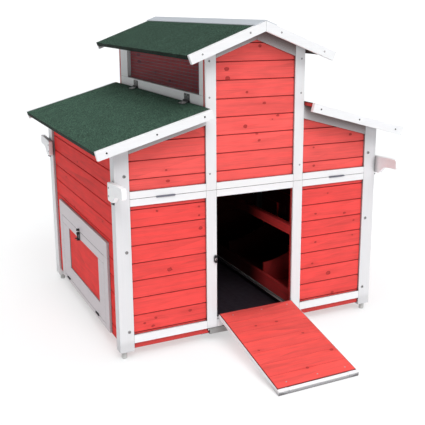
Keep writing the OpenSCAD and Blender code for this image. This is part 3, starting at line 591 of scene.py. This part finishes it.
class Fitting:
    """One mesh of turned heads and plates, with a material for each face."""

    def __init__(self, name, body, slot, mats):
        self.name, self.body, self.slot, self.mats = name, body, slot, mats
        self.bm = bmesh.new()

    def lathe(self, base, out, profile):
        """Turns (radius, height, material, pinch) points in mm about the line from base along
        out. pinch draws the circle in between four lobes, for the recess of a screw."""
        turn = out.to_track_quat("Z", "Y").to_matrix()
        rings = []
        for radius, height, mat, pinch in profile:
            ring = []
            for i in range(LATHE_SIDES):
                a = 2 * math.pi * i / LATHE_SIDES
                r = radius * (1 - pinch * (0.5 - 0.5 * math.cos(4 * a)))
                point = Vector((r * math.cos(a), r * math.sin(a), height)) * MM
                ring.append(self.bm.verts.new(base + turn @ point))
            rings.append((ring, mat))
        for (low, _), (high, mat) in zip(rings, rings[1:]):
            for i in range(LATHE_SIDES):
                j = (i + 1) % LATHE_SIDES
                self.bm.faces.new((low[i], low[j], high[j], high[i])).material_index = mat
        self.bm.faces.new(rings[-1][0]).material_index = rings[-1][1]
        self.bm.faces.new(reversed(rings[0][0])).material_index = rings[0][1]

    def screw(self, base, out, radius, height=2.1):
        """Pan-head screw with a cross recess, on a ring of the given radius; the ring and the
        recess take the second material, mostly black as painted shade round and in the head.
        """
        r = 0.74 * radius
        shade_ring = [(radius, 0.0, 1, 0), (radius, 0.5, 1, 0), (r * 1.03, 0.6, 1, 0)]
        head = [(r, 0.3, 0, 0), (r, 0.45 * height, 0, 0), (r * 0.86, 0.80 * height, 0, 0),
                (r * 0.58, height, 0, 0)]
        recess = [(r * 0.50, height, 1, 0.55), (r * 0.40, 0.45 * height, 1, 0.60),
                  (r * 0.10, 0.35 * height, 1, 0)]
        self.lathe(base, out, shade_ring + head + recess)

    def plate(self, pin, along, out, width):
        """Butterfly hinge leaf: narrow at the pin line, wide and rounded at its free end.
        along is the pin's direction, and out the leaf's, over the given width in mm."""
        up = along.cross(out).normalized()
        rim = []
        for i in range(LEAF_STEPS + 1):
            u = i / LEAF_STEPS
            t = min(2 * u, 1.0)
            half = LEAF_NECK + (1 - LEAF_NECK) * t * t * (3 - 2 * t)
            if u > LEAF_ROUND:
                half *= math.sqrt(1 - 0.84 * ((u - LEAF_ROUND) / (1 - LEAF_ROUND)) ** 3)
            rim.append((half * LEAF_LENGTH / 2, LEAF_START + (width - LEAF_START) * u))
        outline = rim + [(-a, b) for a, b in reversed(rim)]
        lower = [self.bm.verts.new(pin + (along * a + out * b) * MM) for a, b in outline]
        upper = [self.bm.verts.new(v.co + up * LEAF_THICK * MM) for v in lower]
        self.bm.faces.new(lower).material_index = 0
        self.bm.faces.new(reversed(upper)).material_index = 0
        for i in range(len(lower)):
            j = (i + 1) % len(lower)
            self.bm.faces.new((lower[j], lower[i], upper[i], upper[j])).material_index = 0
        for a, b in LEAF_SCREWS:
            reach = LEAF_START + (width - LEAF_START) * b
            spot = pin + (along * a * LEAF_LENGTH + out * reach + up * LEAF_THICK) * MM
            self.screw(spot, up, 2.9, 1.5)

    def done(self, replaced=()):
        """Makes the object, hangs it on its body and hides the nodes that it stands for."""
        bmesh.ops.recalc_face_normals(self.bm, faces=self.bm.faces)
        me = bpy.data.meshes.new(self.name)
        self.bm.to_mesh(me)
        self.bm.free()
        for m in self.mats:
            me.materials.append(m)
        o = bpy.data.objects.new(self.name, me)
        bpy.context.scene.collection.objects.link(o)
        b = o.modifiers.new("bevel", "BEVEL")
        b.width = HEAD_EDGE
        b.segments = 1
        b.limit_method = "ANGLE"
        b.angle_limit = math.radians(40)
        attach(o, self.body)
        if replaced:
            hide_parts(*replaced)


# Every screw head of the frame, and the shoulder screw of the turn button, in mm; their black
# recesses are painted shade. POST_SHADE_RING is how much wider the black rings of painted shade
# round the posts' screws are than the CAD heads.
SHOULDER = [(4.6, -3.8, 1, 0), (4.6, 0.0, 1, 0), (4.5, 0.4, 0, 0), (4.0, 1.3, 0, 0),
            (2.4, 2.0, 0, 0), (1.6, 2.0, 1, 0.5), (1.2, 1.1, 1, 0.5)]
SHOULDER_RISE, SHOULDER_MIN, POST_SCREW_MIN, POST_SHADE_RING = 2.0, 4.0, 4.0, 1.2
heads = Fitting("screw_heads", "coop", "screw_metal", [bright, black])
middle = (cad_lo + cad_hi) / 2
for lo, hi in loose_parts("frame_screws"):
    size, centre = hi - lo, (lo + hi) / 2
    axis = min(range(3), key=lambda i: size[i])
    shoulder = size[axis] > SHOULDER_MIN * MM
    if shoulder:
        axis = Y
    out = Vector([0, 0, 0])
    out[axis] = 1.0 if centre[axis] > middle[axis] else -1.0
    base = centre.copy()
    base[axis] = lo[axis] if out[axis] > 0 else hi[axis]
    radius = size[Z] / 2 / MM
    if shoulder:
        base[Y] = lo[Y] + SHOULDER_RISE * MM
        heads.lathe(base, out, SHOULDER)
    else:
        heads.screw(base, out, radius * (POST_SHADE_RING if radius > POST_SCREW_MIN else 1.0))
heads.done(["frame_screws"])

# Hinge leaves of the lids: bright plates on the felt, and black ones on the frame, which are
# painted shade on plates of the same zinc.
LID_PITCH = math.radians(15.6)
LEAF_OFFSET = 2.35 * MM  # from the pin's middle to the face that a leaf lies on
LID_LEAF_WIDTH, FRAME_LEAF_WIDTH, LEAF_PART_MIN = 23.5, 25.5, 30  # mm
joints = {j["name"]: j for j in frame["record"]["behaviour"]["joints"]}
fixed_plates = Fitting("lid_hinge_plates_fixed", "coop", "bright_metal", [black, screw])
for side, sign in (("left", -1), ("right", 1)):
    pin_x, _, pin_z = joints["lid_%s_hinge" % side]["pos_m"]
    down = Vector((sign * math.cos(LID_PITCH), 0, -math.sin(LID_PITCH)))
    along = Vector((0, -sign, 0))
    plates = Fitting("lid_hinge_plates_" + side, "lid_" + side, "bright_metal", [bright, black])
    for lo, hi in loose_parts("lid_hardware_" + side):
        if hi[Y] - lo[Y] < LEAF_PART_MIN * MM:
            continue  # a barge screw
        pin = Vector((pin_x, (lo[Y] + hi[Y]) / 2, pin_z))
        felt_up = along.cross(down).normalized()
        plates.plate(pin - felt_up * LEAF_OFFSET, along, down, LID_LEAF_WIDTH)
        fixed_plates.plate(pin + Vector((-sign * LEAF_OFFSET, 0, 0)), -along, Vector((0, 0, 1)),
                           FRAME_LEAF_WIDTH)
    plates.done()
fixed_plates.done()

# Coach bolts under the feet of the handles, knobs on the ends of the ramp's hinge pins, and the
# stop screws beside the ramp.
COACH_BOLT = [(7.0, -0.4, 0, 0), (7.0, 1.2, 0, 0), (4.6, 1.5, 0, 0), (4.6, 5.0, 0, 0),
              (3.0, 5.4, 0, 0), (3.0, 9.5, 0, 0), (1.6, 10.5, 1, 0)]
PIN_KNOB = [(2.0, 0.0, 0, 0), (2.0, 2.0, 0, 0), (4.0, 2.6, 0, 0), (4.0, 5.0, 0, 0),
            (2.2, 6.4, 1, 0)]
STOP_SCREW = [(5.0, -0.4, 0, 0), (5.0, 1.0, 0, 0), (3.4, 1.4, 0, 0), (3.4, 4.5, 0, 0),
              (2.0, 5.6, 1, 0)]
BOLT_DROP, BOLT_INSET, STOP_X, STOP_Z = 9.5 * MM, 10 * MM, 190 * MM, 50 * MM
bolts = Fitting("frame_bolts", "coop", "dark_hardware", [black, screw])
hinge = joints["ramp_hinge"]
front_lo, front_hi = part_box("posts_front")
leaves_lo, leaves_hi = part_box("ramp_hinges")
under_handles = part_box("carry_handles")[0][Z] - BOLT_DROP
bolt_rows = (front_lo[Y] + BOLT_INSET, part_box("posts_rear")[1][Y] - BOLT_INSET)
plank_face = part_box("front_planks_lower_left")[0][Y]
for sign, post_x, leaf_x in ((-1.0, front_lo[X], leaves_lo[X]), (1.0, front_hi[X], leaves_hi[X])):
    outward = Vector((sign, 0, 0))
    for y in bolt_rows:
        bolts.lathe(Vector((post_x, y, under_handles)), outward, COACH_BOLT)
    bolts.lathe(Vector((leaf_x, *hinge["pos_m"][1:])), outward, PIN_KNOB)
    bolts.lathe(Vector((sign * STOP_X, plank_face, STOP_Z)), Vector((0, -1, 0)), STOP_SCREW)
bolts.done()

# Nails along both ends of the ramp boards, each on a black ring of painted shade, placed on
# the closed ramp (mm from its hinge) and swung down with it.
NAIL = [(2.6, 0.0, 1, 0), (2.6, 0.35, 1, 0), (1.9, 0.6, 0, 0), (1.0, 0.8, 0, 0)]
NAIL_ACROSS, NAIL_FACE, NAIL_ALONG = (-108, 12, 122), 21, (23, 426)
swing = Matrix.Rotation(math.radians(hinge["range_deg"][1]), 3, "X")
nails = Fitting("ramp_nails", "ramp", "screw_metal", [screw, black])
for across in NAIL_ACROSS:
    for along_ramp in NAIL_ALONG:
        spot = swing @ (Vector((across, NAIL_FACE, along_ramp)) * MM) + Vector(hinge["pos_m"])
        nails.lathe(spot, swing @ Vector((0, 1, 0)), NAIL)
nails.done()


# ---- floor, light and camera ----------------------------------------------------------------

def stage_mesh(name, verts, faces, mat):
    me = bpy.data.meshes.new(name)
    me.from_pydata(verts, [], faces)
    o = bpy.data.objects.new(name, me)
    bpy.context.scene.collection.objects.link(o)
    o.data.materials.append(mat)
    return o


FLOOR_REACH = 30.0      # half the floor's side, metres
WALL_RADIUS = 0.95 * FLOOR_REACH
WALL_SIDES = 48
WALL_FOOT = -0.1
WALL_TOP = 3.4          # top of the wall that lights the coop
SKY_TOP = 6 * WALL_TOP  # top of the wall that only the camera sees
FLOOR_GLOW = 0.56       # lifts the floor to white and softens its shadows


def glowing(name, level, colour, rough, specular):
    s = Shader(name)
    s.bsdf.inputs["Emission Color"].default_value = (1.0, 1.0, 1.0, 1.0)
    s.bsdf.inputs["Emission Strength"].default_value = level
    return s.finish(colour, rough, specular=specular)


def studio():
    """White floor out to a low white wall all round, so that the horizon doesn't show."""
    r, n = FLOOR_REACH, WALL_SIDES
    stage_mesh("floor", [(-r, -r, 0), (r, -r, 0), (r, r, 0), (-r, r, 0)], [(0, 1, 2, 3)],
               glowing("floor_white", FLOOR_GLOW, (0.42, 0.43, 0.435), 0.9, 0.1))
    wall_white = glowing("wall_white", 1.0, (0.1, 0.1, 0.1), 1.0, 0.0)
    turns = [2 * math.pi * i / n for i in range(n)]
    quads = [(i, (i + 1) % n, n + (i + 1) % n, n + i) for i in range(n)]
    for name, low, high, gives_light in (("backdrop", WALL_FOOT, WALL_TOP, True),
                                         ("backdrop_top", WALL_TOP, SKY_TOP, False)):
        ring = [(WALL_RADIUS * math.cos(a), WALL_RADIUS * math.sin(a), z)
                for z in (low, high) for a in turns]
        wall = stage_mesh(name, ring, quads, wall_white)
        wall.visible_diffuse = wall.visible_glossy = wall.visible_shadow = gives_light


def sun(name, azimuth, elevation, angle, level):
    """Soft light from far off; level is the brightness it gives a white surface facing it."""
    a, e = math.radians(azimuth), math.radians(elevation)
    back = Vector((math.sin(a) * math.cos(e), -math.cos(a) * math.cos(e), math.sin(e)))
    light = bpy.data.lights.new(name, "SUN")
    light.angle = math.radians(angle)
    light.energy = level * math.pi
    o = bpy.data.objects.new(name, light)
    bpy.context.scene.collection.objects.link(o)
    o.rotation_euler = (-back).to_track_quat("-Z", "Y").to_euler()


studio()
sun("key", azimuth=-5.0, elevation=45.0, angle=32.0, level=0.57)
sun("top", azimuth=0.0, elevation=84.0, angle=80.0, level=0.66)
world = bpy.data.worlds.new("studio")
world.use_nodes = True
background = world.node_tree.nodes["Background"]
background.inputs["Color"].default_value = (0.97, 0.985, 1.0, 1.0)
background.inputs["Strength"].default_value = 0.07
bpy.context.scene.world = world

CAM_PLACE = (-1.2297, -2.6053, 1.2004)
CAM_TURN, CAM_DIP, CAM_ROLL = -27.266, 13.832, 0.313  # degrees
cam_data = bpy.data.cameras.new("camera")
cam_data.sensor_width = 36.0
cam_data.lens = 62.76
cam_data.shift_x = -0.0816
cam_data.shift_y = -0.0482
cam_data.clip_start, cam_data.clip_end = 0.05, 100.0
cam = bpy.data.objects.new("camera", cam_data)
bpy.context.scene.collection.objects.link(cam)
cam.location = CAM_PLACE
cam.rotation_euler = (Matrix.Rotation(math.radians(CAM_TURN), 4, "Z")
                      @ Matrix.Rotation(math.radians(90.0 - CAM_DIP), 4, "X")
                      @ Matrix.Rotation(math.radians(CAM_ROLL), 4, "Z")).to_euler()
bpy.context.scene.camera = cam
bpy.context.scene.view_settings.view_transform = "Standard"
bpy.context.scene.view_settings.look = "None"
